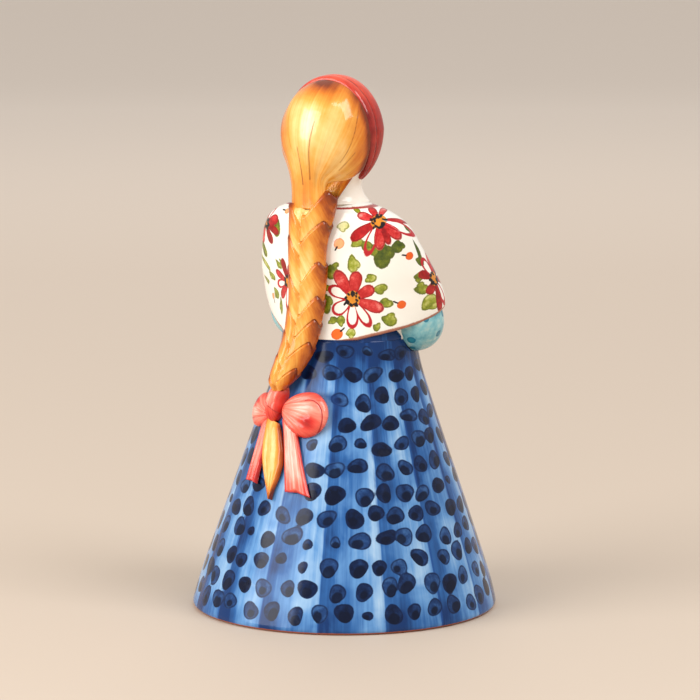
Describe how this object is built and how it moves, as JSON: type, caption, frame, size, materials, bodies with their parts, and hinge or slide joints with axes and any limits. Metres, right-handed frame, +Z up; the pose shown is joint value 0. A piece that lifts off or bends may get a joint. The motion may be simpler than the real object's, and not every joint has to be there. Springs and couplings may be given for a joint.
{
  "type": "porcelain bell",
  "caption": "Glazed ceramic hand bell shaped as a standing woman with a long plait, her skirt the bell, with a ceramic ball swinging inside on a wire.",
  "frame": {"origin": "centre of the bell's mouth, on the surface that it stands on", "axes": "+Z up; the figure faces -Y, her back and plait are towards +Y, and her right hand is on the -X side"},
  "size_m": [0.0734, 0.0734, 0.1288],
  "materials": {
    "skirt": "glossy glaze, blue wash with navy dots",
    "shawl": "glossy white glaze with painted flowers",
    "skin": "glossy pale glaze",
    "sleeve": "glossy teal glaze with darker dots",
    "hair": "glossy golden glaze with brushed strokes",
    "band": "glossy brick red glaze",
    "ribbon": "glossy coral glaze with brushed strokes",
    "clay": "bare fired clay",
    "steel": "drawn wire",
    "ball": "glossy white glaze"
  },
  "bodies": {
    "bell": {"skirt_shell": "skirt", "waist_ceiling": "clay", "shawl_torso": "shawl", "right_sleeve": "sleeve", "left_sleeve": "sleeve", "right_hand": "skin", "left_hand": "skin", "head": "skin", "hair_cap": "hair", "headband": "band", "braid": "hair", "braid_tail": "hair", "bow_knot": "ribbon", "bow_loop_right": "ribbon", "bow_loop_left": "ribbon", "ribbon_tail_right": "ribbon", "ribbon_tail_left": "ribbon"},
    "pin": {"split_pin": "steel", "pin_washer": "steel"},
    "clapper": {"clapper_wire": "steel"},
    "ball": {"clapper_ball": "ball"}
  },
  "joints": [
    {"name": "pin_swivel", "type": "hinge", "parent": "bell", "child": "pin", "pos_m": [0, -0.0009, 0.0582], "axis": [0, 0, 1], "continuous": true},
    {"name": "clapper_swing", "type": "hinge", "parent": "pin", "child": "clapper", "pos_m": [0, -0.0009, 0.0522], "axis": [1, 0, 0], "range_deg": [-32, 32]},
    {"name": "ball_spin", "type": "hinge", "parent": "clapper", "child": "ball", "pos_m": [0, -0.0009, 0.0195], "axis": [0, 0, 1], "continuous": true}
  ]
}
